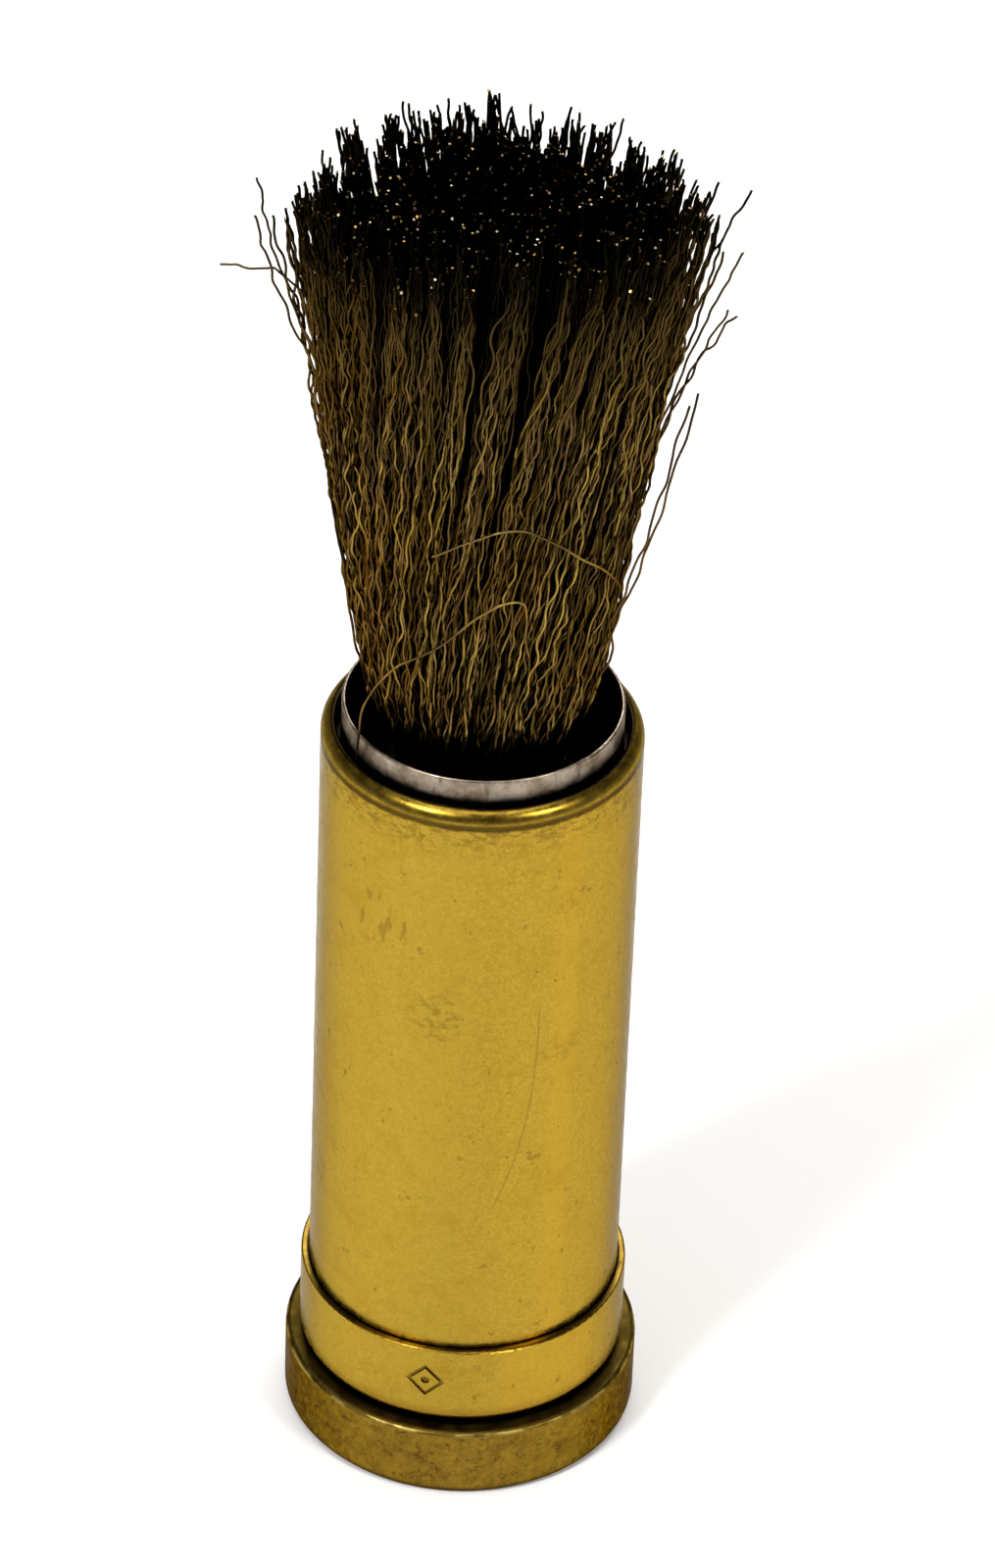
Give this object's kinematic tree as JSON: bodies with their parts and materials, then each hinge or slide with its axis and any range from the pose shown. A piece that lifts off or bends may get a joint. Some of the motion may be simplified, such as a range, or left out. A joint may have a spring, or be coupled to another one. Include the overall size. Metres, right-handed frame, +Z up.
{
  "type": "twist-up wire brush",
  "caption": "Pocket brush for cleaning soldering tips: a flared tuft of crimped brass wire that a turn of the foot raises from, or draws back into, a round brass tube.",
  "frame": {"origin": "centre of the underside of the foot, on the surface that the brush stands on", "axes": "+Z up along the tube's axis towards the tips of the tuft; the two follower pins lie along X"},
  "size_m": [0.0248, 0.0248, 0.0968],
  "materials": {
    "sleeve_brass": "satin with fine pits and a tarnish ring under the lip",
    "aged_brass": "mottled dark patina, bright on the edges",
    "plated_brass": "nickel plated, slightly dulled",
    "turned_brass": "turned",
    "zinc_plated_steel": "dull zinc plate",
    "spring_steel": "tempered",
    "bright_steel": "ground",
    "solder": "matt",
    "binding_iron": "annealed",
    "wire_brass": "crimped wire, golden at the root and tarnished black at the tips"
  },
  "bodies": {
    "base": {"foot_shell": "aged_brass", "base_plate": "aged_brass", "base_weight": "zinc_plated_steel", "guide_tube": "plated_brass", "friction_washer": "spring_steel", "retaining_ring": "spring_steel"},
    "barrel": {"bearing_ring": "turned_brass", "collar": "sleeve_brass", "sleeve": "sleeve_brass", "spiral_tube": "turned_brass"},
    "carrier": {"carrier": "turned_brass", "follower_pin_left": "bright_steel", "follower_pin_right": "bright_steel", "tuft_ferrule": "aged_brass", "ferrule_rivet": "turned_brass", "root_plug": "solder", "binding_wire": "binding_iron", "tuft": "wire_brass"}
  },
  "joints": [
    {"name": "barrel_twist", "type": "hinge", "parent": "base", "child": "barrel", "pos_m": [0, 0, 0.03], "axis": [0, 0, 1], "range_deg": [0, 540]},
    {"name": "carrier_lift", "type": "slide", "parent": "base", "child": "carrier", "axis": [0, 0, 1], "range_m": [-0.0405, 0], "deforming": ["tuft"]}
  ],
  "couplings": [
    {"joint": "carrier_lift", "follows": "barrel_twist", "m_per_rad": -0.0042972}
  ]
}
